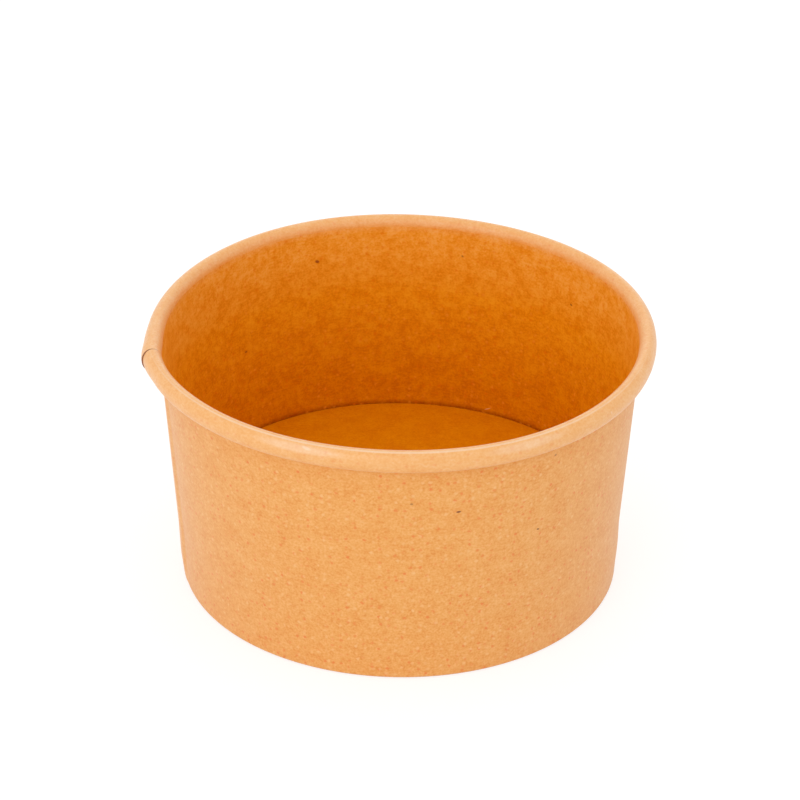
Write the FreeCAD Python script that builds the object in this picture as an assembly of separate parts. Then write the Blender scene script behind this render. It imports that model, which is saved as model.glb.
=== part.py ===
import FreeCAD, Part
import math
import os

os.makedirs("parts", exist_ok=True)

# Sizes in millimetres. The foot stands on z = 0 and the tub is centred on the z axis.
height = 51.3               # foot plane to the top of the rolled rim
rim_outer_radius = 48.0     # outside of the rolled rim
seat_inner_radius = 41.9    # inside of the wall, level with the top of the base disc
foot_outer_radius = 41.8    # outside of the wall carried down to the foot plane
floor_height = 11.0         # foot plane to the top of the base disc

# The two boards and the glue lines between pressed layers
board = 0.4                 # side wall board
disc_board = 0.35           # base disc board
press_gap = 0.05            # glue line on each side of the disc's skirt
crease_gap = 0.15           # end of the skirt to the bottom of the foot fold

# Rolled rim, an oval roll that is taller than it is wide
roll_width = 3.2
roll_height = 4.3
tuck_length = 0.75          # straight end of the board, inside the roll beside the wall
tuck_gap = 0.06             # between that end and the wall

# Pressed foot: the wall turns in and up round the skirt
foot_corner = 0.6           # outer bend at the foot
leg_corner = 0.3            # bend where the inner leg begins
leg_height = 8.0            # foot plane to the end of the inner leg

# Base disc
bend_radius = 0.6           # outside of the bend between disc and skirt

# Lapped side seam
lap_edge_angle = 192.0      # cut edge that shows on the rim, in degrees round from +x
lap_width = 8.0             # width of the lap, measured round the rim
ramp_width = 2.4            # length over which a layer comes back down beside a cut edge
ramp_sink = 0.04            # how far the thin end of a ramp dips into the board below it

ORIGIN = FreeCAD.Vector(0, 0, 0)
UP = FreeCAD.Vector(0, 0, 1)


def at(r, z):
    """Point of the half section, r from the axis and z up."""
    return FreeCAD.Vector(r, 0, z)


def toward(angle):
    """Unit vector of the half section, angle in radians up from the outward direction."""
    return at(math.cos(angle), math.sin(angle))


def line(a, b):
    return Part.LineSegment(a, b).toShape()


def arc(centre, radius, start, end):
    """Arc of the half section between two angles in radians."""
    middle = centre + toward((start + end) / 2) * radius
    ends = [centre + toward(angle) * radius for angle in (start, end)]
    return Part.Arc(ends[0], middle, ends[1]).toShape()


def on_line(base, slope, z):
    """Point at height z on a straight flank that leans out by slope for each unit of height."""
    return at(base.x + slope * (z - base.z), z)


def crossing(base, slope, other, other_slope):
    """Point where two straight flanks meet."""
    z = (other.x - base.x + slope * base.z - other_slope * other.z) / (slope - other_slope)
    return on_line(base, slope, z)


def bend(before, corner, after, radius):
    """Arc that rounds a corner, with the points where it begins and ends."""
    a = (before - corner).normalize()
    b = (after - corner).normalize()
    half = math.acos(max(-1.0, min(1.0, a.dot(b)))) / 2
    reach = radius / math.tan(half)
    centre = corner + (a + b).normalize() * (radius / math.sin(half))
    middle = centre + (corner - centre).normalize() * radius
    start = corner + a * reach
    end = corner + b * reach
    return start, Part.Arc(start, middle, end).toShape(), end


def outline(corners):
    """Closed wire through corners given as (point, bend radius)."""
    edges = []
    starts = []
    ends = []
    for i, (corner, radius) in enumerate(corners):
        if radius:
            before = corners[i - 1][0]
            after = corners[(i + 1) % len(corners)][0]
            start, edge, end = bend(before, corner, after, radius)
            edges.append(edge)
        else:
            start, edge, end = corner, None, corner
            edges.append(None)
        starts.append(start)
        ends.append(end)
    path = []
    for i, edge in enumerate(edges):
        if edge:
            path.append(edge)
        path.append(line(ends[i], starts[(i + 1) % len(corners)]))
    return Part.Wire(path)


def turned(wire, start=0.0, sweep=360.0):
    """Solid made by carrying a section round the axis from start through sweep degrees."""
    face = Part.Face(wire)
    face.rotate(ORIGIN, UP, start)
    return face.revolve(ORIGIN, UP, sweep)


def ramp(first, last, start, end):
    """Solid between a section at the angle start and another at the angle end."""
    a = first.copy()
    b = last.copy()
    a.rotate(ORIGIN, UP, start)
    b.rotate(ORIGIN, UP, end)
    return Part.makeLoft([a, b], True, True)


# Roll: centre of its top bend and the lean of the wall, whose inside runs into that bend
top_radius = roll_width / 2
top_centre = at(rim_outer_radius - top_radius, height - top_radius)
seat = at(seat_inner_radius, floor_height)
run = top_centre - seat
lean = math.atan2(run.x, run.z) - math.asin(top_radius / run.Length)
wall_slope = math.tan(lean)
wall_side = math.pi - lean

# Straight flanks of the wall and of the foot band below the disc, inside and outside
wall_outside = seat + toward(-lean) * board
band_slope = (seat_inner_radius - foot_outer_radius + board) / floor_height
band_tilt = math.atan(band_slope)
band_inside = seat
band_outside = seat + toward(-band_tilt) * board
skirt_outside = seat - toward(-band_tilt) * press_gap
skirt_inside = skirt_outside - toward(-band_tilt) * disc_board
leg_outside = skirt_inside - toward(-band_tilt) * press_gap
leg_inside = leg_outside - toward(-band_tilt) * board

# Bottom bend of the roll, which fills the space between the rim's outside and the wall
tuck_level = height - roll_height + top_radius + tuck_length
wall_at_tuck = on_line(wall_outside, wall_slope, tuck_level).x
low_radius = (rim_outer_radius - wall_at_tuck - tuck_gap) / 2
low_centre = at(rim_outer_radius - low_radius, height - roll_height + low_radius)


def roll_edges(depth):
    """Edges of the roll at a depth below the board's inner face, from the wall round to the tuck."""
    upper = top_radius - depth
    lower = low_radius - depth
    over = arc(top_centre, upper, wall_side, 0)
    down = line(top_centre + at(upper, 0), low_centre + at(lower, 0))
    under = arc(low_centre, lower, 0, -math.pi)
    tuck = line(low_centre - at(lower, 0), low_centre + at(-lower, tuck_length))
    return [over, down, under, tuck]


def foot_corners(extra):
    """Corners down the outside of the wall, under the foot and up the leg, moved out by extra."""
    wall = wall_outside + toward(-lean) * extra
    band = band_outside + toward(-band_tilt) * extra
    leg = leg_inside - toward(-band_tilt) * extra
    return [
        (crossing(wall, wall_slope, band, band_slope), 0),
        (on_line(band, band_slope, 0), foot_corner),
        (on_line(leg, band_slope, 0), leg_corner),
        (on_line(leg, band_slope, leg_height), 0),
    ]


# Side wall: one sheet from the tuck in the rim to the end of the leg, same thickness all along
inner_face = roll_edges(0)
outer_face = roll_edges(board)
wall_top_inside = top_centre + toward(wall_side) * top_radius
wall_top_outside = top_centre + toward(wall_side) * (top_radius - board)
leg_top = on_line(leg_outside, band_slope, leg_height)
leg_foot = on_line(leg_outside, band_slope, board)
band_foot = on_line(band_inside, band_slope, board)
crease_start, crease, crease_end = bend(leg_foot, band_foot, seat, foot_corner - board)
shoulder, foot_out, foot_in, leg_end = foot_corners(0)
foot_start, foot_bend, foot_flat = bend(shoulder[0], foot_out[0], foot_in[0], foot_out[1])
flat_end, leg_bend, leg_start = bend(foot_out[0], foot_in[0], leg_end[0], foot_in[1])
tuck_end = [low_centre + at(depth - low_radius, tuck_length) for depth in (0, board)]

wall_section = Part.Wire(
    [line(leg_top, leg_foot), line(leg_foot, crease_start), crease, line(crease_end, seat)]
    + [line(seat, wall_top_inside)]
    + inner_face
    + [line(tuck_end[0], tuck_end[1])]
    + outer_face[::-1]
    + [line(wall_top_outside, shoulder[0]), line(shoulder[0], foot_start), foot_bend]
    + [line(foot_flat, flat_end), leg_bend, line(leg_start, leg_end[0])]
    + [line(leg_end[0], leg_top)]
)
side_wall = turned(wall_section)


def wall_layer(extra):
    """Section of the outer layer of the lap: wall, foot and leg, raised by extra."""
    top = height - roll_height / 2
    upper = on_line(wall_outside + toward(-lean) * extra, wall_slope, top)
    middle = wall_outside - toward(-lean) * (board / 2)
    band = band_outside - toward(-band_tilt) * (board / 2)
    leg = leg_inside + toward(-band_tilt) * (board / 2)
    back = [
        (on_line(leg, band_slope, leg_height), 0),
        (on_line(leg, band_slope, board / 2), 0),
        (on_line(band, band_slope, board / 2), foot_corner - board / 2),
        (crossing(middle, wall_slope, band, band_slope), 0),
        (on_line(middle, wall_slope, top), 0),
    ]
    return outline([(upper, 0)] + foot_corners(extra) + back)


def roll_layer(extra):
    """Section of the inner layer of the lap where it shows on the roll, raised by extra."""
    depth = board / 2
    shift = at(extra / 2, 0)
    upper = top_radius + extra / 2
    lower = low_radius + extra / 2
    top = top_centre + shift
    low = low_centre + shift
    back = roll_edges(depth)
    return Part.Wire(
        [arc(top, upper, wall_side, 0)]
        + [line(top + at(upper, 0), low + at(lower, 0))]
        + [arc(low, lower, 0, -math.pi)]
        + [line(low - at(lower, 0), low_centre - at(low_radius - depth, 0))]
        + back[2::-1]
        + [line(top_centre + toward(wall_side) * (top_radius - depth),
                top + toward(wall_side) * upper)]
    )


# Lap: the outer layer ends in a cut edge at the far side, the inner one shows its cut edge on the rim
lap = math.degrees(lap_width / rim_outer_radius)
ease = math.degrees(ramp_width / rim_outer_radius)
lap_far_angle = lap_edge_angle - lap
layers = [
    turned(wall_layer(board), lap_far_angle, lap),
    ramp(wall_layer(board), wall_layer(-ramp_sink), lap_edge_angle, lap_edge_angle + ease),
    turned(roll_layer(board), lap_far_angle, lap),
    ramp(roll_layer(-ramp_sink), roll_layer(board), lap_far_angle - ease, lap_far_angle),
]
side_wall = side_wall.multiFuse(layers).removeSplitter()

# Base disc: flat floor with a skirt turned down inside the foot band
skirt_end = board + crease_gap
disc_section = outline([
    (at(0, floor_height), 0),
    (on_line(skirt_outside, band_slope, floor_height), bend_radius),
    (on_line(skirt_outside, band_slope, skirt_end), 0),
    (on_line(skirt_inside, band_slope, skirt_end), 0),
    (on_line(skirt_inside, band_slope, floor_height - disc_board), bend_radius - disc_board),
    (at(0, floor_height - disc_board), 0),
])
base_disc = turned(disc_section)

for name, shape in (("side_wall", side_wall), ("base_disc", base_disc)):
    shape.Solids[0].exportStep("parts/" + name + ".step")
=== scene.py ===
"""Kraft paper ice cream tub with a rolled rim, a lapped side seam and a base disc above the foot."""

import logging
import math
from dataclasses import dataclass, field
from enum import Enum, IntEnum
from typing import Optional, Union

import bpy
import numpy as np
from mathutils import Matrix, Vector


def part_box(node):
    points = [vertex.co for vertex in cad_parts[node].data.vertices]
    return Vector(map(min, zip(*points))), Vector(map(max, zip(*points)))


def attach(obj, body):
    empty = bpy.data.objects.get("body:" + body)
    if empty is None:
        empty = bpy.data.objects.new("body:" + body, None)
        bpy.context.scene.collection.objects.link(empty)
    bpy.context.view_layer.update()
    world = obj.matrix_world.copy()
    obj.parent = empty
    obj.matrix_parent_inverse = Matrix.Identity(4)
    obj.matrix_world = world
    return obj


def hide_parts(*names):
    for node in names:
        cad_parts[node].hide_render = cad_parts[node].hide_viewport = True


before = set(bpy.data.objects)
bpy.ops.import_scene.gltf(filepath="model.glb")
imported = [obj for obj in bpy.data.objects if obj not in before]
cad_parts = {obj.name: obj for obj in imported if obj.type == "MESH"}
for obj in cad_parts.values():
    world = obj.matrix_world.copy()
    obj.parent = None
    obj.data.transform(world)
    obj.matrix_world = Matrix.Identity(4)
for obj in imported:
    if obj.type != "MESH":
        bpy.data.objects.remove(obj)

MM = 0.001
UV_NAME = "board"
UV_UNIT = 10.0 * MM
SHARP_ANGLE = 38.0
QUARTER = 0.5 * math.pi
BODY = "root"

log = logging.getLogger("tub")

Colour = tuple[float, float, float, float]
Link = bpy.types.NodeSocket
Array = np.ndarray
Value = Union[float, tuple, Link]


class WallFace(IntEnum):
    """Material slots of the wall."""

    COATED = 0
    RIM = 1
    BARE = 2


class Place(Enum):
    """Where a fleck lies."""

    OUTSIDE = "outside of the wall"
    INSIDE = "inside of the wall"
    RIM = "on the rolled rim"


@dataclass(frozen=True)
class Fleck:
    """One dark or pale fibre pressed into the board, or a pale painted highlight on the rim.

    Args:
        place: The face that it lies on.
        across: Degrees round from +X.
        up: Millimetres above the foot plane, or over the roll from its inner start for one on the rim.
        length: Length in millimetres.
        width: Width in millimetres.
        turn: Turn of its length from the horizontal, in degrees.
        strength: How much of the board's colour it covers, from 0 to 1.
        pale: True for a pale fibre, worn spot or painted highlight and False for a dark fibre.
    """

    place: Place
    across: float
    up: float
    length: float
    width: float
    turn: float
    strength: float
    pale: bool = False


PlacedFlecks = list[tuple[tuple[float, float], Fleck]]


def smooth(x: Array) -> Array:
    """Smooth step: three x squared less two x cubed, with x held between 0 and 1."""
    t = np.clip(x, 0.0, 1.0)
    return t * t * (3.0 - 2.0 * t)


def straight(start: Array, end: Array, count: int) -> Array:
    """Points on a line: start plus t times the way to the end, with t from 0 up to but not 1.

    Args:
        start: First point as (r, z).
        end: Point that the line stops short of.
        count: How many points.

    Returns:
        Array of count by 2.
    """
    t = np.arange(count)[:, None] / count
    return start + (end - start) * t


def bow(centre: Array, radii: tuple[float, float], start: float, end: float, count: int) -> Array:
    """Points on an ellipse: centre plus (a cos t, b sin t), with t from start up to but not end.

    Args:
        centre: Centre as (r, z).
        radii: Half width a and half height b.
        start: First angle in radians.
        end: Angle that the arc stops short of.
        count: How many points.

    Returns:
        Array of count by 2.
    """
    t = start + (end - start) * np.arange(count) / count
    return centre + np.stack([radii[0] * np.cos(t), radii[1] * np.sin(t)], axis=1)


def right_normals(path: Array) -> Array:
    """Unit normals to the right of a path, from the difference of each point's two neighbours.

    Args:
        path: Points as (r, z), in order.

    Returns:
        Array of the same shape.
    """
    step = np.gradient(path, axis=0)
    step /= np.linalg.norm(step, axis=1, keepdims=True)
    return np.stack([step[:, 1], -step[:, 0]], axis=1)


def board_section(path: Array, board: float) -> tuple[Array, Array, Array]:
    """Closed section of a board: its coated face along the path and its other face back again.

    The other face is the path moved by the board's thickness along its right normals.

    Args:
        path: The coated face as (r, z), in order.
        board: Thickness of the board.

    Returns:
        Points as (r, z), the normals out of the board, and 1 on rows of the coated face.
    """
    outward = right_normals(path)
    section = np.concatenate([path, (path + outward * board)[::-1]])
    normals = np.concatenate([-outward, outward[::-1]])
    return section, normals, np.repeat([1.0, 0.0], len(path))


def path_length(path: Array) -> Array:
    """Distance of each point from the first one, measured along the path."""
    steps = np.linalg.norm(np.diff(path, axis=0), axis=1)
    return np.concatenate([[0.0], np.cumsum(steps)])


def grid_object(
    name: str,
    points: Array,
    uv: Array,
    attributes: dict[str, Array],
    finishes: Array,
    closed_section: bool,
) -> bpy.types.Object:
    """Mesh object from a grid that closes round its second direction.

    Row i and column j give one vertex. Each face joins (i, j), (i + 1, j), (i + 1, j + 1) and
    (i, j + 1), and the last column joins the first. A closed section also joins its last row to its
    first. An open one gets a point at each end, on the mean of its end row, which closes both poles.

    Args:
        name: Name of the object and its mesh.
        points: Grid of rows by columns by 3, in metres.
        uv: Grid of rows + 1 by columns + 1 by 2, with the joint's far side in the last row and column.
        attributes: Float values by name, each a grid of rows by columns.
        finishes: Material slot of the faces that begin at each row.
        closed_section: True where the section is a loop.

    Returns:
        The object, linked to the scene.
    """
    rows, columns = points.shape[:2]
    strips = rows if closed_section else rows - 1
    i, j = np.meshgrid(np.arange(strips), np.arange(columns), indexing="ij")
    corner_i = np.stack([i, i + 1, i + 1, i], axis=-1).reshape(-1, 4)
    corner_j = np.stack([j, j, j + 1, j + 1], axis=-1).reshape(-1, 4)
    faces = (corner_i % rows) * columns + corner_j % columns
    loops = faces.reshape(-1)
    loop_uv = uv[corner_i, corner_j].reshape(-1, 2)
    sizes = np.full(len(faces), 4)
    slots = finishes[i.reshape(-1)]
    vertices = points.reshape(-1, 3)
    if not closed_section:
        vertices = np.concatenate([vertices, points[[0, -1]].mean(axis=1)])
        column = np.arange(columns)
        fans = ((0, column, column + 1), (rows - 1, column + 1, column))
        for pole, (row, one, two) in enumerate(fans):
            tip = np.full(columns, rows * columns + pole)
            first = row * columns
            fan = np.stack([tip, first + one % columns, first + two % columns], axis=1)
            middle = np.full((columns, 2), uv[-pole].mean(0))
            fan_uv = np.stack([middle, uv[row, one], uv[row, two]], axis=1)
            loops = np.concatenate([loops, fan.reshape(-1)])
            loop_uv = np.concatenate([loop_uv, fan_uv.reshape(-1, 2)])
            sizes = np.concatenate([sizes, np.full(columns, 3)])
            slots = np.concatenate([slots, np.full(columns, finishes[row])])

    mesh = bpy.data.meshes.new(name)
    mesh.vertices.add(len(vertices))
    mesh.vertices.foreach_set("co", vertices.astype(np.float32).ravel())
    mesh.loops.add(len(loops))
    mesh.loops.foreach_set("vertex_index", loops.astype(np.int32))
    mesh.polygons.add(len(sizes))
    loop_start = np.concatenate([[0], np.cumsum(sizes)[:-1]])
    mesh.polygons.foreach_set("loop_start", loop_start.astype(np.int32))
    mesh.polygons.foreach_set("material_index", slots.astype(np.int32))
    mesh.uv_layers.new(name=UV_NAME)
    mesh.uv_layers[UV_NAME].uv.foreach_set("vector", loop_uv.astype(np.float32).ravel())
    for key, grid in attributes.items():
        values = grid.reshape(-1)
        if not closed_section:
            values = np.concatenate([values, grid[[0, -1]].mean(axis=1)])
        mesh.attributes.new(key, "FLOAT", "POINT").data.foreach_set("value", values.astype(np.float32))
    mesh.update(calc_edges=True)
    mesh.validate()
    mesh.polygons.foreach_set("use_smooth", np.ones(len(mesh.polygons), dtype=bool))
    mesh.set_sharp_from_angle(angle=math.radians(SHARP_ANGLE))
    made = bpy.data.objects.new(name, mesh)
    bpy.context.collection.objects.link(made)
    return made


@dataclass
class TubSizes:
    """Driving sizes in millimetres, worked out from the frame where it holds them.

    Args:
        board: Thickness of the wall's board.
        disc_board: Thickness of the base disc's board.
        roll_width: Width of the rolled rim.
        roll_height: Height of the rolled rim.
        press_gap: Glue line between pressed layers.
        crease_gap: End of the skirt to the inside of the foot fold.
        seat_radius: Inside of the wall, level with the floor.
        foot_radius: Outside of the wall at the foot plane.
        leg_height: Top of the inner leg above the foot plane.
        lap_edge: Cut edge that shows on the rim, in degrees round from +X.
        lap_width: Width of the lap, measured round the rim.
        foot_drift: How far the foot lies to the right of the rim.
        swell: How far the pressed foot band stands out on its right side.
        waves: Unevenness of the rim as (waves to the turn, cosine part, sine part).
        rim_radius: Outside of the rolled rim, read from the frame.
        height: Top of the rim, read from the frame.
        floor_height: Top of the base disc, read from the frame.
    """

    board: float = 0.4
    disc_board: float = 0.35
    roll_width: float = 3.2
    roll_height: float = 4.3
    press_gap: float = 0.05
    crease_gap: float = 0.15
    seat_radius: float = 41.9
    foot_radius: float = 41.8
    leg_height: float = 8.0
    lap_edge: float = 192.0
    lap_width: float = 8.0
    foot_drift: float = 0.11
    swell: float = 0.16
    waves: tuple[tuple[int, float, float], ...] = ((2, 0.0, 0.15), (3, 0.05, -0.09), (4, -0.1, 0.21))
    rim_radius: float = field(init=False)
    height: float = field(init=False)
    floor_height: float = field(init=False)

    def __post_init__(self) -> None:
        """Read the rim, the height and the floor from the CAD nodes' boxes."""
        wall_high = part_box("side_wall")[1]
        disc_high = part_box("base_disc")[1]
        self.rim_radius = round(wall_high.x / MM, 2)
        self.height = round(wall_high.z / MM - self.board / 2, 2)
        self.floor_height = round(disc_high.z / MM, 2)

    @property
    def per_mm(self) -> float:
        """Degrees to one millimetre round the rim."""
        return math.degrees(1.0 / self.rim_radius)

    @property
    def lap_far(self) -> float:
        """Angle in degrees of the far edge of the lap, where the wall's outer layer begins."""
        return self.lap_edge - self.lap_width * self.per_mm

    @property
    def band_lean(self) -> float:
        """How far the foot band leans out for each millimetre of height."""
        return (self.seat_radius - self.foot_radius + self.board) / self.floor_height

    def band(self, inward: float, z: float) -> Array:
        """Point (r, z) at a height on a line that lies inward of the foot band's inner face."""
        return np.array([self.seat_radius - inward + self.band_lean * (z - self.floor_height), z])

    def placed(self, r: Array, angle: Array, z: Array) -> Array:
        """Points of the tub as it really stands, a little uneven, in metres.

        A point is (r cos a + drift, r sin a, z). Each wave adds its cosine and sine parts to the
        radius, in full at the rim and not at all from the floor down. The swell is a bell in height
        times the square of the cosine of the angle on the right side. The drift is full at the foot.

        Args:
            r: Radii in millimetres.
            angle: Angles in radians.
            z: Heights in millimetres.

        Returns:
            Array with a last axis of 3.
        """
        share = np.clip((z - self.floor_height) / (self.height - self.floor_height), 0.0, 1.0)
        uneven = sum(c * np.cos(n * angle) + s * np.sin(n * angle) for n, c, s in self.waves)
        middle, reach = 0.6 * self.floor_height, 0.33 * self.floor_height
        bell = np.exp(-(((z - middle) / reach) ** 2))
        side = np.clip(np.cos(angle), 0.0, 1.0) ** 2
        radius = r + uneven * share + self.swell * bell * side * np.clip(r / self.foot_radius, 0.0, 1.0)
        drift = self.foot_drift * (1.0 - np.clip(z / self.height, 0.0, 1.0))
        return np.stack([radius * np.cos(angle) + drift, radius * np.sin(angle), z], axis=-1) * MM


@dataclass
class NodeBook:
    """Short calls that write the nodes of a material or world.

    Args:
        tree: The node tree.
    """

    tree: bpy.types.NodeTree

    @classmethod
    def opened(cls, owner: Union[bpy.types.Material, bpy.types.World]) -> "NodeBook":
        """Empty the node tree of a material or world, ready to write.

        Args:
            owner: The material or world.

        Returns:
            The node writer.
        """
        owner.use_nodes = True
        owner.node_tree.nodes.clear()
        return cls(owner.node_tree)

    def add(self, kind: str, settings: Optional[dict] = None, **inputs: Value) -> bpy.types.Node:
        """Add one node, with its settings and inputs.

        Args:
            kind: Blender's name of the node type, less its ShaderNode.
            settings: Properties of the node itself.
            inputs: Values or links by input name, with _ for a space, or in0, in1 and so on by number.

        Returns:
            The node.
        """
        node = self.tree.nodes.new(f"ShaderNode{kind}")
        for key, value in (settings or {}).items():
            setattr(node, key, value)
        for key, value in inputs.items():
            number = key[2:] if key.startswith("in") else ""
            socket = node.inputs[int(number) if number.isdigit() else key.replace("_", " ")]
            if isinstance(value, Link):
                self.tree.links.new(value, socket)
            else:
                socket.default_value = value
        return node

    def math(self, operation: str, *values: Value) -> Link:
        """Result of a Math node, by the name of its sum and its inputs in order."""
        inputs = {f"in{k}": value for k, value in enumerate(values)}
        return self.add("Math", {"operation": operation}, **inputs).outputs[0]

    def blend(self, share: Value, first: Value, second: Value) -> Link:
        """Colour between two others, by the share of the second."""
        node = self.add("Mix", {"data_type": "RGBA"}, in0=share, in6=first, in7=second)
        return node.outputs[2]

    def ramp(self, value: Value, low: float, high: float, ease: bool = True) -> Link:
        """Value carried from low..high to 0..1.

        Args:
            value: What to carry over.
            low: Value that becomes 0.
            high: Value that becomes 1.
            ease: True for a smooth step.

        Returns:
            The value socket.
        """
        kind = "SMOOTHSTEP" if ease else "LINEAR"
        settings = {"interpolation_type": kind}
        return self.add("MapRange", settings, Value=value, in1=low, in2=high).outputs[0]

    def attribute(self, name: str) -> Link:
        """Value of a mesh attribute."""
        return self.add("Attribute", {"attribute_name": name}).outputs["Fac"]

    def noise(self, place: Value, scale: float, detail: float, roughness: float = 0.5) -> Link:
        """Value of a noise texture at the given coordinates."""
        node = self.add("TexNoise", Vector=place, Scale=scale, Detail=detail, Roughness=roughness)
        return node.outputs[0]

    def mapped(self, place: Value, kind: str, location: tuple, turn: float, scale: tuple) -> Link:
        """Coordinates moved, turned about Z and scaled.

        Args:
            place: Coordinates.
            kind: Blender's name of the mapping type.
            location: Shift.
            turn: Turn in degrees.
            scale: Scale along each axis.

        Returns:
            The coordinates socket.
        """
        node = self.add(
            "Mapping",
            {"vector_type": kind},
            Vector=place,
            Location=location,
            Rotation=(0.0, 0.0, math.radians(turn)),
            Scale=scale,
        )
        return node.outputs[0]


@dataclass(frozen=True)
class KraftTone:
    """Colours of one face of the board, in linear light.

    Args:
        body: Main colour.
        dark: Colour of its darker, redder mottle.
        light: Colour of its paler mottle.
    """

    body: Colour
    dark: Colour
    light: Colour


@dataclass(frozen=True)
class KraftFinish:
    """Finish of one face of brown kraft board: mottle, specks, flecks and the line of a cut edge, raw
    edge with painted shade.

    Args:
        name: Name of the material.
        tones: Colours by depth, the first at depth 0, the next at depth 1 and so on: on the coated
            face, painted light on the rim and painted shade deeper in the tub.
        roughness: Roughness of the face.
        gloss: Specular level, low on the bare face and where the food goes.
        sheen: How much the fibres pale the face at a low angle.
        bump: Depth of the fibre relief in metres.
        cut: Colour of a cut edge: the raw edge's brown darkened by painted shade.
        fleck_dark: Colour of dark flecks.
        fleck_pale: Colour of pale fibres, and on the rim of its worn spots and painted highlights.
        speck_red: Colour of the red specks.
        speck_pale: Colour of the pale specks.
        spread: How far the mottle goes from its mean before a colour is full.
        weights: Weights of the clouds, patches, grain and fibres in the mottle.
        grain_scale: Grains to 10 mm.
        patches: Patches to 10 mm, round the tub and up it.
        speck_cells: Cells to 10 mm for each kind of speck, of which nearly half hold one.
        speck_strength: How much of its colour a speck may have.
    """

    name: str
    tones: tuple[KraftTone, ...]
    roughness: float = 0.42
    gloss: float = 0.12
    sheen: float = 0.0
    bump: float = 0.00002
    cut: Colour = (0.30, 0.10, 0.035, 1.0)
    fleck_dark: Colour = (0.16, 0.035, 0.012, 1.0)
    fleck_pale: Colour = (0.90, 0.60, 0.28, 1.0)
    speck_red: Colour = (0.84, 0.23, 0.045, 1.0)
    speck_pale: Colour = (0.91, 0.50, 0.19, 1.0)
    spread: float = 0.25
    weights: tuple[float, float, float, float] = (0.40, 0.45, 0.75, 0.40)
    grain_scale: float = 24.0
    patches: tuple[float, float] = (9.0, 9.0)
    speck_cells: float = 7.0
    speck_strength: float = 1.0

    def mottle(self, book: NodeBook, place: Value) -> tuple[Link, Link]:
        """Fibre pattern in the plane of the board.

        One half plus the weighted sum of four noises, each less its mean of one half: clouds of 4 mm,
        patches of 1 mm, a grain of 0.4 mm and fibres, the mean of three stretched noises turned
        55 degrees apart. The relief is the mean of the grain and the fibres.

        Args:
            book: Node writer.
            place: Board coordinates, one unit to 10 mm.

        Returns:
            Values about 0.5 for the colour and for the relief.
        """
        grain = book.noise(place, self.grain_scale, 2.0, 0.5)
        hairs = 0.0
        bends = book.noise(place, 6.0, 1.0)
        turns = (37.0, 92.0, 147.0)
        for turn in turns:
            stretched = book.mapped(place, "POINT", (turn, 0.0, 0.0), turn, (8.0, 26.0, 1.0))
            bent = book.add("VectorMath", {"operation": "ADD"}, in0=stretched, in1=bends)
            hairs = book.math("ADD", hairs, book.noise(bent.outputs[0], 1.0, 2.0, 0.5))
        hairs = book.math("MULTIPLY", hairs, 1.0 / len(turns))
        spread_out = book.mapped(place, "POINT", (3.0, 8.0, 0.0), 0.0, (*self.patches, 1.0))
        clouds = book.noise(place, 2.4, 3.0, 0.55)
        patches = book.noise(spread_out, 1.0, 2.5, 0.5)
        total = 0.5 * (1.0 - sum(self.weights))
        for layer, weight in zip((clouds, patches, grain, hairs), self.weights):
            total = book.math("MULTIPLY_ADD", layer, weight, total)
        relief = book.math("MULTIPLY_ADD", grain, 0.5, book.math("MULTIPLY", hairs, 0.5))
        return total, relief

    def tone(self, book: NodeBook, tones: KraftTone, mottle: Value) -> Link:
        """Colour of one face: its body, redder where the mottle is low and paler where it is high.

        Args:
            book: Node writer.
            tones: Colours of the face.
            mottle: Fibre pattern.

        Returns:
            The colour socket.
        """
        low = book.ramp(mottle, 0.5, 0.5 - self.spread, ease=False)
        high = book.ramp(mottle, 0.5, 0.5 + self.spread, ease=False)
        colour = book.blend(low, tones.body, tones.dark)
        return book.blend(high, colour, tones.light)

    def specked(self, book: NodeBook, place: Value, colour: Value, speck: Colour, start: float) -> Link:
        """Colour with small soft specks, each near the middle of a cell whose random value is high.

        A speck is full where its distance, made ragged by a noise, is under 0.28 and ends at 0.54.

        Args:
            book: Node writer.
            place: Board coordinates.
            colour: Colour below.
            speck: Colour of the specks.
            start: Offset into the cells, so that two kinds of speck don't coincide.

        Returns:
            The colour socket.
        """
        moved = book.mapped(place, "POINT", (start, start, 0.0), 0.0, (1.0, 1.0, 1.0))
        ragged = book.noise(moved, 22.0, 1.0)
        flat = {"voronoi_dimensions": "2D"}
        cells = book.add("TexVoronoi", flat, Vector=moved, Scale=self.speck_cells)
        pick = book.add("SeparateColor", Color=cells.outputs["Color"])
        chosen = book.ramp(pick.outputs[0], 0.50, 0.62)
        reach = book.math("MULTIPLY_ADD", ragged, 0.45, cells.outputs["Distance"])
        share = book.math("MULTIPLY", book.ramp(reach, 0.54, 0.28), chosen)
        strength = book.math("MULTIPLY", pick.outputs[1], self.speck_strength)
        return book.blend(book.math("MULTIPLY", share, strength), colour, speck)

    def flecked(self, book: NodeBook, place: Value, flecks: PlacedFlecks, colour: Value) -> Link:
        """Colour with each fleck laid on it, full to 0.45 of its half size and gone at 1.25.

        Args:
            book: Node writer.
            place: Board coordinates.
            flecks: Each fleck with its centre in board coordinates.
            colour: Colour below.

        Returns:
            The colour socket.
        """
        for centre, fleck in flecks:
            size = (fleck.length * MM / UV_UNIT / 2, fleck.width * MM / UV_UNIT / 2, 1.0)
            local = book.mapped(place, "TEXTURE", (*centre, 0.0), fleck.turn, size)
            reach = book.add("VectorMath", {"operation": "LENGTH"}, in0=local).outputs["Value"]
            share = book.math("MULTIPLY", book.ramp(reach, 1.25, 0.45), fleck.strength)
            colour = book.blend(share, colour, self.fleck_pale if fleck.pale else self.fleck_dark)
        return colour

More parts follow.
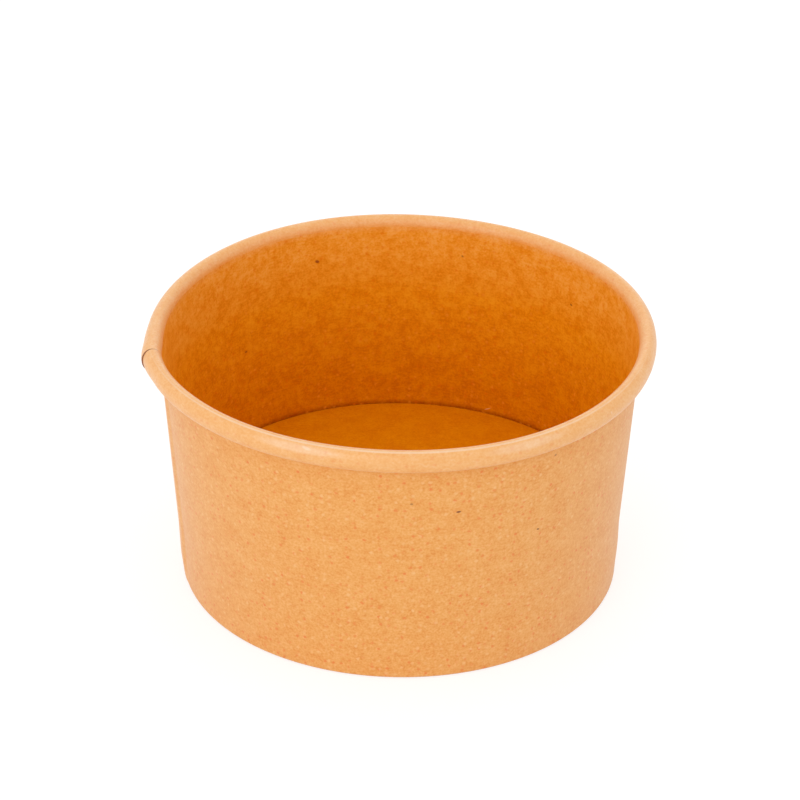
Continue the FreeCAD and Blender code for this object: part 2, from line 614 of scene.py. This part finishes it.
    def build(self, flecks: PlacedFlecks) -> bpy.types.Material:
        """Make the material.

        Args:
            flecks: Flecks of the face, with their centres in board coordinates.

        Returns:
            The material.
        """
        material = bpy.data.materials.new(self.name)
        book = NodeBook.opened(material)
        place = book.add("UVMap", {"uv_map": UV_NAME}).outputs[0]
        mottle, relief = self.mottle(book, place)
        colour = self.tone(book, self.tones[0], mottle)
        # painted light and shade: the depth attribute turns the coated face from the paler lit rim to
        # darker, redder shaded tones down into the tub
        if len(self.tones) > 1:
            depth = book.attribute("depth")
            for step, tones in enumerate(self.tones[1:]):
                share = book.ramp(depth, float(step), step + 1.0, ease=False)
                colour = book.blend(share, colour, self.tone(book, tones, mottle))
        colour = self.specked(book, place, colour, self.speck_red, 0.0)
        colour = self.specked(book, place, colour, self.speck_pale, 31.7)
        colour = self.flecked(book, place, flecks, colour)
        # the cut edges' lines: the raw edge's colour with painted shade in and beside each step
        colour = book.blend(book.attribute("edge"), colour, self.cut)

        sway = 0.12
        rough = book.math("MULTIPLY_ADD", mottle, -sway, self.roughness + sway / 2)
        bump = book.add("Bump", Strength=1.0, Distance=self.bump, Height=relief)
        shader = book.add(
            "BsdfPrincipled",
            Base_Color=colour,
            Roughness=rough,
            Specular_IOR_Level=self.gloss,
            Normal=bump.outputs[0],
            Sheen_Weight=self.sheen,
            Sheen_Roughness=0.5,
            Sheen_Tint=(1.0, 0.93, 0.86, 1.0),
        )
        book.add("OutputMaterial", Surface=shader.outputs[0])
        return material


BARE_TONE = KraftTone((0.855, 0.388, 0.096, 1.0), (0.79, 0.280, 0.045, 1.0), (0.92, 0.475, 0.16, 1.0))
# Painted light and shade: the rim's tone is the coated board as lit on the rim; the upper, middle and
# deep tones are ever darker, redder shaded copies of it down the inside, and the floor's tone is the
# shaded copy on the disc.
RIM_TONE = KraftTone((0.90, 0.455, 0.155, 1.0), (0.86, 0.385, 0.105, 1.0), (0.93, 0.52, 0.23, 1.0))
UPPER_TONE = KraftTone((0.91, 0.365, 0.032, 1.0), (0.83, 0.280, 0.006, 1.0), (0.95, 0.45, 0.085, 1.0))
MIDDLE_TONE = KraftTone((0.86, 0.310, 0.004, 1.0), (0.76, 0.240, 0.0, 1.0), (0.92, 0.385, 0.012, 1.0))
DEEP_TONE = KraftTone((0.77, 0.260, 0.0, 1.0), (0.68, 0.200, 0.0, 1.0), (0.84, 0.320, 0.001, 1.0))
FLOOR_TONE = KraftTone((0.79, 0.262, 0.0, 1.0), (0.73, 0.215, 0.0, 1.0), (0.84, 0.310, 0.001, 1.0))
# painted shade in the corner where the wall meets the base disc
CORNER_SHADE_TONE = KraftTone((0.56, 0.150, 0.0, 1.0), (0.48, 0.110, 0.0, 1.0), (0.63, 0.19, 0.0, 1.0))

BARE_FACE = KraftFinish(
    "kraft_bare_face",
    (BARE_TONE,),
    roughness=0.80,
    gloss=0.35,
    sheen=0.46,
    bump=0.00004,
    weights=(0.40, 0.45, 0.75, 0.26),
)
ROLLED_RIM = KraftFinish(
    "kraft_rolled_rim",
    # the second tone is painted shade on the underside of the roll
    (RIM_TONE, UPPER_TONE),
    roughness=0.38,
    gloss=0.50,
    sheen=0.20,
    # pale colour of the rim's painted highlight bands and worn spots
    fleck_pale=(0.98, 0.80, 0.62, 1.0),
    speck_strength=0.35,
)
COATED_FACE = KraftFinish(
    "kraft_coated_face",
    # lit rim tone, then painted shade deepening down the inside and in the corner above the disc
    (RIM_TONE, UPPER_TONE, MIDDLE_TONE, DEEP_TONE, CORNER_SHADE_TONE),
    speck_red=(0.80, 0.20, 0.0, 1.0),
    speck_pale=(0.92, 0.37, 0.03, 1.0),
    speck_strength=0.7,
    fleck_dark=(0.27, 0.06, 0.010, 1.0),
    weights=(0.80, 0.75, 0.85, 0.80),
    patches=(8.0, 6.0),
)
COATED_DISC = KraftFinish(
    "kraft_coated_disc",
    # a darker, redder copy of the coated board: painted shade on the floor of the tub
    (FLOOR_TONE,),
    speck_red=(0.68, 0.17, 0.0, 1.0),
    speck_pale=(0.86, 0.34, 0.01, 1.0),
    weights=(0.70, 0.45, 0.75, 0.40),
    speck_strength=0.5,
)

FLECKS = [
    Fleck(Place.OUTSIDE, 283.9, 36.9, 0.9, 0.42, 4.0, 0.95),
    Fleck(Place.OUTSIDE, 305.3, 29.0, 0.58, 0.36, -20.0, 0.9),
    Fleck(Place.OUTSIDE, 272.8, 39.2, 0.61, 0.5, 0.0, 0.48),
    Fleck(Place.OUTSIDE, 308.7, 44.3, 0.58, 0.42, 30.0, 0.48),
    # Painted highlights: the long thin pale band at 268 degrees along the rim's inner top edge and the
    # broad soft ones at 247.5 and 298.5 degrees on the near rim; the small pale marks at 249.5 and 323
    # degrees are worn spots.
    Fleck(Place.RIM, 268.0, 3.15, 110.0, 0.5, 0.0, 0.4, pale=True),
    Fleck(Place.RIM, 247.5, 4.4, 15.0, 1.8, 0.0, 0.26, pale=True),
    Fleck(Place.RIM, 249.5, 4.1, 1.7, 0.6, 14.0, 0.35, pale=True),
    Fleck(Place.RIM, 298.5, 4.4, 15.0, 1.8, 0.0, 0.22, pale=True),
    Fleck(Place.RIM, 323.0, 5.2, 0.9, 0.35, 70.0, 0.3, pale=True),
    Fleck(Place.INSIDE, 112.3, 43.3, 0.97, 0.7, 25.0, 0.85),
    Fleck(Place.INSIDE, 135.4, 28.6, 0.74, 0.5, -10.0, 0.7),
    Fleck(Place.INSIDE, 74.3, 44.1, 0.61, 0.42, 40.0, 0.6),
    Fleck(Place.INSIDE, 41.4, 40.6, 0.68, 0.45, 15.0, 0.7),
    Fleck(Place.INSIDE, 65.3, 11.8, 1.5, 0.24, -25.0, 0.8, pale=True),
]


@dataclass
class SideWall:
    """The wall's board: one sheet from its inner leg, round the foot, up the wall and over the rim.

    Args:
        sizes: The tub's sizes.
        tuck_length: Straight end of the board inside the roll.
        tuck_gap: Between that end and the wall.
        crease_radius: Inside of the bend at the foot.
        ramp: Length over which the wall's outer layer comes down beside the rim's cut edge.
        edge_lift: How far the roll is fuller just past its cut edge, on the far side.
        lift_length: Length over which that dies away.
        near_lift: How far the roll is fuller just before the cut edge, on the near side.
        near_length: Length over which that dies away.
        creep: How far round the roll the cut edge has crept from the seam's own place.
        push: How far the whole rim is pushed out at the cut edge.
        push_far: Length over which the push dies away on the far side.
        push_near: Length over which it dies away on the near side.
        push_foot: Depth below the top at which the push ends on the wall.
        inside_step: How far the inner layer stands proud inside the tub.
        step_half: Half the length round the tub over which a cut edge steps up.
        line_half: Half the width of the dark line along a cut edge: the raw edge, with painted contact
            shade beside it.
        fibre_shift: Shift of the outer face's fibres against those of the coated face.
        fades: Heights over which the rim's colour turns to those of the upper inside, the middle
        and the deep inside, one after the other: painted shade deepening down into the tub.
        seam_shade: Height of the painted shade line in the corner above the base disc.
        end_shade: Share of the cut edge's colour at the hidden ends of the sheet.
        pressed: Height over which the pressed foot flattens the lap.
        pressed_share: What it leaves of the lap's height at the foot plane.
    """

    sizes: TubSizes
    tuck_length: float = 0.75
    tuck_gap: float = 0.06
    crease_radius: float = 0.2
    ramp: float = 2.4
    edge_lift: float = 0.62
    lift_length: float = 14.0
    near_lift: float = 0.38
    near_length: float = 7.0
    creep: float = 0.5
    push: float = 0.50
    push_far: float = 6.5
    push_near: float = 26.0
    push_foot: float = 8.0
    inside_step: float = 0.14
    step_half: float = 0.012
    line_half: float = 0.10
    fibre_shift: float = 250.0
    fades: tuple[float, float, float] = (2.2, 13.0, 17.0)
    seam_shade: float = 0.9
    end_shade: float = 0.55
    pressed: float = 5.0
    pressed_share: float = 0.25

    def sheet(self) -> tuple[Array, dict[str, int]]:
        """Coated face of the sheet as a path in the half section.

        Straight runs and quarter bows joined end to end. The roll is an ellipse over the top and down
        the outside, and a narrower quarter ellipse under and back to the wall.

        Returns:
            Points as (r, z) in millimetres, and the rows where named stretches begin.
        """
        s = self.sizes
        half = s.roll_width / 2
        tall = s.roll_height / 2
        centre = np.array([s.rim_radius - half, s.height - tall])
        seat = np.array([s.seat_radius, s.floor_height])
        leg_in = s.press_gap * 2 + s.disc_board
        leg_top = s.band(leg_in, s.leg_height)
        leg_foot = s.band(leg_in, s.board)
        band_foot = s.band(0.0, s.board)
        bend = self.crease_radius
        # the wall's lean as run over rise and in radians, and how far it has leaned in at the tuck
        slope, lean, lean_in = 0.075, 0.07, 0.02
        # the leg's bend, how far below the roll's middle the tuck begins, and how far it leans out
        small, drop, tuck_lean = 0.1, 0.35, 0.02
        leave = math.pi - math.atan2(half * slope, tall) * 2
        top_join = centre + np.array([half * math.cos(leave), tall * math.sin(leave)])
        wall_low = centre[0] - half + s.board / math.cos(lean) - lean_in
        under = centre[0] - (wall_low + self.tuck_gap)
        tuck = np.array([centre[0] - under, centre[1] - drop])
        tuck_end = tuck + np.array([tuck_lean, self.tuck_length])
        under_centre = np.array([centre[0], tuck[1]])
        under_radii = (under, tuck[1] - centre[1] + tall)
        corner = seat + (top_join - seat) * (self.seam_shade / (top_join[1] - seat[1]))
        pieces = [
            ("leg", straight(leg_top, leg_foot + np.array([0.0, small]), 5)),
            ("turn", bow(leg_foot + np.array([small, small]), (small, small), math.pi, 3 * QUARTER, 3)),
            ("fold", straight(leg_foot + np.array([small, 0.0]), band_foot - np.array([bend, 0.0]), 3)),
            ("crease", bow(band_foot + np.array([-bend, bend]), (bend, bend), -QUARTER, 0.0, 6)),
            ("band", straight(band_foot + np.array([0.0, bend]), seat, 12)),
            ("wall", np.concatenate([straight(seat, corner, 4), straight(corner, top_join, 28)])),
            ("over", bow(centre, (half, tall), leave, 0.0, 26)),
            ("under", bow(centre, (half, tall), 0.0, -QUARTER, 12)),
            ("back", bow(under_centre, under_radii, -QUARTER, -math.pi, 12)),
            ("tuck", straight(tuck, tuck_end, 4)),
        ]
        starts = {}
        total = 0
        for name, points in pieces:
            starts[name] = total
            total += len(points)
        return np.concatenate([points for _, points in pieces] + [tuck_end[None]]), starts

    def angles(self) -> Array:
        """Columns in degrees: even once round, closer about the lap and closest beside its cut edges.

        Returns:
            The angle of each column, in rising order.
        """
        s = self.sizes
        far = s.lap_far
        ease = self.lift_length * s.per_mm
        even = np.linspace(0.0, 360.0, 330, endpoint=False)
        even = even[(even < far - ease - 1.0) | (even > s.lap_edge + ease + 1.0)]
        near = np.linspace(far - ease - 1.0, s.lap_edge + ease + 1.0, 72)
        offsets = np.array([self.step_half, 0.04, self.line_half, 0.16])
        beside = np.concatenate([-offsets[::-1], offsets]) * s.per_mm
        cut = self.cut_angle()
        keep = (np.abs(near - far) > 0.3) & (np.abs(near - cut) > 0.3)
        return np.sort(np.concatenate([even, near[keep], far + beside, cut + beside]))

    def cut_angle(self) -> float:
        """Angle in degrees of the cut edge that shows on the rim."""
        return self.sizes.lap_edge + math.degrees(self.creep / self.sizes.rim_radius)

    def lifts(self, angle: Array) -> tuple[Array, Array, Array, Array]:
        """How far the two layers of the lap stand up, and where their cut edges show.

        The outer layer is full between the lap's two edges, drops at once at the far one and eases
        down past the near one. The roll is fuller round its cut edge, more so on the far side, and
        eases down both ways. A cut edge's line, the raw edge with painted contact shade beside it, is
        full at the edge and falls to 0 beside it.

        Args:
            angle: Columns in degrees.

        Returns:
            Lift of the outer layer, 0 to 1, lift of the rim in millimetres, and the line of each.
        """
        s = self.sizes
        per_mm = s.per_mm
        far = s.lap_far
        ease = self.ramp * per_mm
        step = self.step_half * per_mm
        outer = np.interp(angle, [far - step, far + step], [0.0, 1.0])
        outer = outer * (1.0 - smooth((angle - s.lap_edge) / ease))
        cut = self.cut_angle()
        inner = np.interp(angle, [cut - step, cut + step], [1.0, 0.0])
        away = (cut - angle) / per_mm
        raised = inner * self.edge_lift * (1.0 - smooth(away / self.lift_length))
        raised = raised + (1.0 - inner) * self.near_lift * (1.0 - smooth(-away / self.near_length))
        # each line is cut off at 1, which keeps it flat over its middle, and the far one is paler;
        # beside the cut face it is painted contact shade
        width, peak, paler = self.line_half * per_mm, 1.4, 0.6
        outer_line = paler * np.clip(peak - np.abs(angle - far) / width, 0.0, 1.0)
        inner_line = np.clip(peak - np.abs(angle - cut) / width, 0.0, 1.0)
        return outer, raised, outer_line, inner_line

    def pushed(self, angle: Array) -> Array:
        """How far the whole rim is pushed out: most at the cut edge, dying away on both sides."""
        away = np.radians(self.cut_angle() - angle) * self.sizes.rim_radius
        return self.push * (1.0 - smooth(np.maximum(away / self.push_far, -away / self.push_near)))

    def surface(self) -> tuple[Array, Array, dict[str, Array], Array]:
        """The closed sheet as a grid of section by angle.

        A point is (r cos a, r sin a, z). Within the lap the outer face of the wall moves out by a
        board, and by less toward the pressed foot. The coated face of the roll moves by half the rim's
        lift along its normal, half a board at most in height, and by as much straight out. Inside the
        tub it stands in by the inside step, which fades out toward the floor and the rim. Then the
        rim is pushed out, in full on the roll and not at all from the foot of the push down.

        Returns:
            Points in metres, the board coordinates, the attributes and each row's material slot.
        """
        s = self.sizes
        path, starts = self.sheet()
        section, normals, is_inner = board_section(path, s.board)
        length = path_length(path)
        along = np.concatenate([length, length[::-1]])
        order = np.arange(len(path))
        rows = np.concatenate([order, order[::-1]])
        on_roll = ((rows >= starts["over"]) & (rows <= starts["tuck"])).astype(float)
        on_wall = ((rows >= starts["wall"]) & (rows <= starts["over"])).astype(float)

        angle = self.angles()
        outer_lift, inner_lift, outer_line, inner_line = self.lifts(angle)
        r0 = section[:, 0]
        z0 = section[:, 1]
        fade_rows = np.clip(1.0 - (rows - starts["over"]) / 5.0, 0.0, 1.0)
        wall_share = np.where(rows < starts["over"], 1.0, fade_rows)
        flattened = self.pressed_share + (1.0 - self.pressed_share) * smooth(z0 / self.pressed)
        move_outer = np.outer((1.0 - is_inner) * wall_share * flattened * s.board, outer_lift)
        move_inner = np.outer(is_inner * on_roll, inner_lift / 2)
        above_floor = smooth((z0 - s.floor_height - 1.0) / 5.0)
        below_rim = smooth((s.height - 2.0 - z0) / 4.0)
        inside = is_inner * on_wall * above_floor * below_rim
        lift_share = np.clip(inner_lift / self.edge_lift, 0.0, 1.0)
        move_inside = np.outer(inside * self.inside_step, lift_share)
        push_share = smooth((z0 - s.height + self.push_foot) / (self.push_foot - 2.0))
        push_share = np.where(rows >= starts["over"], 1.0, push_share)
        out, up = normals[:, :1], normals[:, 1:]
        r = r0[:, None] + move_outer * out + move_inner * (out + 1.0) - move_inside
        r = r + np.outer(push_share, self.pushed(angle))
        lift_z = np.minimum(move_inner, s.board / 2)
        z = z0[:, None] + move_outer * up + lift_z * up
        z = np.maximum(z, 0.0)
        points = s.placed(r, np.radians(angle) * np.ones_like(r), z)

        ones = np.ones_like(angle)
        # cut edges' lines, raw edge colour with painted contact shade beside each step, and the sheet's
        # hidden cut ends
        cut_rows = ((rows == 0) | (rows == len(path) - 1)).astype(float)
        edge = np.outer(is_inner * (rows > starts["crease"]), inner_line)
        edge = np.maximum(edge, np.outer(1.0 - is_inner, outer_line) * (rows < starts["over"])[:, None])
        edge = np.maximum(edge, np.outer(cut_rows * self.end_shade, ones))
        attributes = {"depth": np.outer(self.depth(r0, z0), ones), "edge": edge}
        coated = np.where(rows >= starts["over"], WallFace.RIM, WallFace.COATED)
        finishes = np.where(is_inner > 0.5, coated, WallFace.BARE)
        return points, self.board_uv(along, is_inner, angle), attributes, finishes

    def depth(self, r: Array, z: Array) -> Array:
        """Steps down through the colours of the coated face, from painted light on the rim to painted
        shade deep in the tub.

        Inside the tub it gains 1 over each of the three fades, one after the other, and over the
        painted shade in the corner above the disc. On the outer half of the roll it eases from 0 at the
        middle to
        0.4 below, painted shade under the roll.

        Args:
            r: Radius of each row in millimetres.
            z: Height of each row in millimetres.

        Returns:
            The depth of each row, from 0 to 4.
        """
        s = self.sizes
        top = s.height - 0.35 * s.roll_width / 2
        upper, middle, deep = self.fades
        steps = smooth((top - z) / upper)
        steps = steps + np.clip((top - upper - z) / middle, 0.0, 1.0)
        steps = steps + np.clip((top - upper - middle - z) / deep, 0.0, 1.0)
        # painted shade in the corner above the base disc
        steps = steps + smooth(1.0 - (z - s.floor_height) / self.seam_shade)
        # painted shade under the roll: its outer half eases toward the darker upper-inside tone below
        # its middle
        low = 0.4 * smooth((s.height - 0.45 * s.roll_height - z) / (0.5 * s.roll_height))
        return np.where(r < s.rim_radius - s.roll_width / 2, steps, low)

    def board_uv(self, along: Array, is_inner: Array, angle: Array) -> Array:
        """Flat coordinates of the blank: arc length round by length along the section.

        The outer face is shifted round so that its fibres differ from those of the coated face.

        Args:
            along: Length along the section of each row.
            is_inner: 1 on rows of the coated face.
            angle: Columns in degrees.

        Returns:
            Grid with one more row and column than the mesh.
        """
        turn = np.concatenate([angle, [angle[0] + 360.0]])
        round_mm = np.radians(turn) * self.sizes.seat_radius
        rows = np.concatenate([along, along[:1]])
        shift = np.concatenate([1.0 - is_inner, [0.0]]) * self.fibre_shift
        u = (round_mm[None] + shift[:, None]) * MM / UV_UNIT
        v = rows[:, None] * np.ones_like(turn)[None] * MM / UV_UNIT
        return np.stack([u, v], axis=-1)

    def locate(self, fleck: Fleck) -> tuple[float, float]:
        """Board coordinates of a fleck on the wall.

        Args:
            fleck: The fleck.

        Returns:
            Its centre in the blank's flat coordinates.
        """
        path, starts = self.sheet()
        length = path_length(path)
        stretch = slice(starts["crease"], starts["over"])
        along = float(np.interp(fleck.up, path[stretch, 1], length[stretch]))
        if fleck.place is Place.RIM:
            along = float(length[starts["over"]]) + fleck.up
        shift = self.fibre_shift if fleck.place is Place.OUTSIDE else 0.0
        across = math.radians(fleck.across) * self.sizes.seat_radius + shift
        return across * MM / UV_UNIT, along * MM / UV_UNIT

    def build(self) -> bpy.types.Object:
        """Make, dress and place the wall.

        Returns:
            The wall's object.
        """
        points, uv, attributes, finishes = self.surface()
        made = grid_object("kraft_side_wall", points, uv, attributes, finishes, closed_section=True)
        faces = ((COATED_FACE, Place.INSIDE), (ROLLED_RIM, Place.RIM), (BARE_FACE, Place.OUTSIDE))
        for finish, place in faces:
            flecks = [(self.locate(fleck), fleck) for fleck in FLECKS if fleck.place is place]
            made.data.materials.append(finish.build(flecks))
        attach(made, BODY)
        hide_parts("side_wall")
        log.info("%s: %d faces", made.name, len(made.data.polygons))
        return made


@dataclass
class BaseDisc:
    """The base disc's board: a flat floor with its edge turned down as a skirt.

    Args:
        sizes: The tub's sizes.
        bend_radius: Outside of the bend.
        rings: Rows across the floor.
        columns: Columns round it.
        sag: How far the floor's middle dips.
        fibre_shift: Shift of the underside's fibres against those of the coated face.
        end_shade: Share of the cut edge's colour at the end of the skirt.
    """

    sizes: TubSizes
    bend_radius: float = 0.6
    rings: int = 44
    columns: int = 240
    sag: float = 0.06
    fibre_shift: float = 200.0
    end_shade: float = 0.6

    def surface(self) -> tuple[Array, Array, dict[str, Array], Array]:
        """The closed disc as a grid of section by angle.

        The coated path runs out from the middle, over the bend and down the skirt. A point is
        (r cos a, r sin a, z). The floor dips by the sag times one less the square of r over its radius,
        a quarter more or less with the cosine of twice the angle.

        Returns:
            Points in metres, the board coordinates, the attributes and each row's material slot.
        """
        s = self.sizes
        top = s.floor_height
        edge_top = s.band(s.press_gap, top)
        skirt_end = s.band(s.press_gap, s.board + s.crease_gap)
        bend = self.bend_radius
        corner = np.array([edge_top[0] - bend, top - bend])
        skirt_top = np.array([edge_top[0] - s.band_lean * bend, top - bend])
        pieces = [
            straight(np.array([0.6, top]), np.array([corner[0], top]), self.rings),
            bow(corner, (bend, bend), QUARTER, 0.0, 8),
            straight(skirt_top, skirt_end, 12),
            skirt_end[None],
        ]
        path = np.concatenate(pieces)
        section, _, is_inner = board_section(path, s.disc_board)
        count = len(path)
        angle = np.linspace(0.0, math.tau, self.columns, endpoint=False)
        r = section[:, :1] * np.ones_like(angle)
        z = section[:, 1:] * np.ones_like(angle)
        on_floor = (r < corner[0]) * (1.0 - (r / corner[0]) ** 2)
        z = z - self.sag * on_floor * (1.0 + 0.25 * np.cos(2.0 * angle + 0.4))
        points = s.placed(r, angle * np.ones_like(r), z)

        length = path_length(path) + path[0, 0]
        along = np.concatenate([length, length[::-1], length[:1]])
        turn = np.concatenate([angle, [math.tau]])
        side = np.concatenate([1.0 - is_inner, [0.0]]) * self.fibre_shift
        u = along[:, None] * np.cos(turn) + side[:, None]
        v = along[:, None] * np.sin(turn)
        uv = np.stack([u, v], axis=-1) * MM / UV_UNIT
        cut = np.zeros(2 * count)
        cut[[count - 1, count]] = self.end_shade
        attributes = {"edge": np.outer(cut, np.ones_like(angle))}
        return points, uv, attributes, 1 - is_inner

    def build(self) -> bpy.types.Object:
        """Make, dress and place the disc.

        Returns:
            The disc's object.
        """
        points, uv, attributes, finishes = self.surface()
        made = grid_object("kraft_base_disc", points, uv, attributes, finishes, closed_section=False)
        made.data.materials.append(COATED_DISC.build([]))
        made.data.materials.append(BARE_FACE.build([]))
        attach(made, BODY)
        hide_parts("base_disc")
        log.info("%s: %d faces", made.name, len(made.data.polygons))
        return made


@dataclass(frozen=True)
class Softbox:
    """One square softbox that faces the tub.

    Args:
        name: Name of the lamp.
        place: Where it hangs, in metres.
        size: Side of the square, in metres.
        power: Power in watts.
        warmth: Colour of its light.
        aim: Point that it faces, in metres.
    """

    name: str
    place: tuple[float, float, float]
    size: float
    power: float
    warmth: tuple[float, float, float]
    aim: tuple[float, float, float] = (0.0, 0.0, 0.03)

    def build(self) -> bpy.types.Object:
        """Hang the lamp.

        Returns:
            The lamp.
        """
        data = bpy.data.lights.new(self.name, "AREA")
        data.shape = "SQUARE"
        data.size = self.size
        data.energy = self.power
        data.color = self.warmth
        made = bpy.data.objects.new(self.name, data)
        made.location = self.place
        toward = Vector(self.aim) - Vector(self.place)
        made.rotation_euler = toward.to_track_quat("-Z", "Y").to_euler()
        bpy.context.collection.objects.link(made)
        return made


SOFTBOXES = (
    Softbox("front_softbox", (-0.62, -1.1, 0.6), size=0.9, power=3.0, warmth=(1.0, 0.99, 0.98)),
    Softbox("back_softbox", (0.1, 1.2, 0.32), size=0.8, power=1.0, warmth=(1.0, 1.0, 1.0)),
)


@dataclass
class Studio:
    """White sweep, soft lamps and the camera of the reference photo.

    Args:
        focal_px: Focal length in pixels of the 800 pixel frame.
        elevation: Height of the camera above the horizon, in degrees.
        distance: From the camera to the point it looks at, in millimetres.
        aim_side: How far right of the axis that point lies, in millimetres.
        aim_height: Height of that point, in millimetres.
        roll: Turn of the picture, in degrees.
        frame_px: Width of the picture in pixels.
        sky: Strength of the light from all round.
        table: Grey of the table top for the light that it throws back.
        seen: Grey of the table top for the camera, which keeps the tub's shadow.
        glow: Its own glow for the camera.
    """

    focal_px: float = 3612.6
    elevation: float = 29.691
    distance: float = 685.87
    aim_side: float = -0.11
    aim_height: float = 35.35
    roll: float = -0.677
    frame_px: float = 800.0
    sky: float = 0.93
    table: float = 0.88
    seen: float = 0.42
    glow: float = 0.68

    def camera(self) -> bpy.types.Object:
        """Place the camera by its elevation, distance and roll.

        Returns:
            The camera.
        """
        data = bpy.data.cameras.new("photo_camera")
        data.sensor_width = 36.0
        data.lens = self.focal_px * data.sensor_width / self.frame_px
        data.clip_start = 0.01
        data.clip_end = 50.0
        e = math.radians(self.elevation)
        turn = math.radians(self.roll)
        right = Vector((1.0, 0.0, 0.0))
        up = Vector((0.0, math.sin(e), math.cos(e)))
        back = Vector((0.0, -math.cos(e), math.sin(e)))
        level_right = right * math.cos(turn) - up * math.sin(turn)
        level_up = right * math.sin(turn) + up * math.cos(turn)
        made = bpy.data.objects.new("photo_camera", data)
        axes = Matrix((level_right, level_up, back)).transposed().to_4x4()
        place = Vector((self.aim_side, 0.0, self.aim_height)) * MM + back * self.distance * MM
        made.matrix_world = Matrix.Translation(place) @ axes
        bpy.context.collection.objects.link(made)
        bpy.context.scene.camera = made
        return made

    def world(self) -> None:
        """White all round: the sky strength for light, and full white where the camera looks at it."""
        world = bpy.data.worlds.new("white_sweep")
        bpy.context.scene.world = world
        book = NodeBook.opened(world)
        seen = book.add("LightPath").outputs["Is Camera Ray"]
        strength = book.math("MULTIPLY_ADD", seen, 1.0 - self.sky, self.sky)
        ground = book.add("Background", Color=(1.0, 1.0, 1.0, 1.0), Strength=strength)
        book.add("OutputWorld", Surface=ground.outputs[0])

    def floor(self) -> bpy.types.Object:
        """Lay the white table top, which looks near white to the camera and keeps the tub's shadow.

        Returns:
            The floor.
        """
        half, drop = 3.0, 0.00002
        corners = [(-half, -half), (half, -half), (half, half), (-half, half)]
        mesh = bpy.data.meshes.new("table_top")
        mesh.from_pydata([(x, y, -drop) for x, y in corners], [], [(0, 1, 2, 3)])
        made = bpy.data.objects.new("table_top", mesh)
        bpy.context.collection.objects.link(made)
        material = bpy.data.materials.new("white_table")
        book = NodeBook.opened(material)
        path = book.add("LightPath")
        seen = book.math("MAXIMUM", path.outputs["Is Camera Ray"], path.outputs["Is Glossy Ray"])
        plain = book.add("BsdfDiffuse", Color=(self.table, self.table, self.table, 1.0))
        pale = book.add("BsdfDiffuse", Color=(self.seen, self.seen, self.seen, 1.0))
        glow = book.add("Emission", Color=(1.0, 1.0, 1.0, 1.0), Strength=self.glow)
        both = book.add("AddShader", in0=pale.outputs[0], in1=glow.outputs[0])
        mixed = book.add("MixShader", in0=seen, in1=plain.outputs[0], in2=both.outputs[0])
        book.add("OutputMaterial", Surface=mixed.outputs[0])
        made.data.materials.append(material)
        return made

    def build(self) -> None:
        """Set up the floor, the light and the camera."""
        self.world()
        self.floor()
        for softbox in SOFTBOXES:
            softbox.build()
        camera = self.camera()
        bpy.context.scene.view_settings.view_transform = "Standard"
        log.info("studio: camera %.1f mm lens at %.0f mm", camera.data.lens, self.distance)


def main() -> None:
    """Build the tub and its studio."""
    logging.basicConfig(level=logging.INFO, format="%(name)s: %(message)s")
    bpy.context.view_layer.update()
    sizes = TubSizes()
    SideWall(sizes).build()
    BaseDisc(sizes).build()
    Studio().build()


if __name__ == "__main__":
    main()
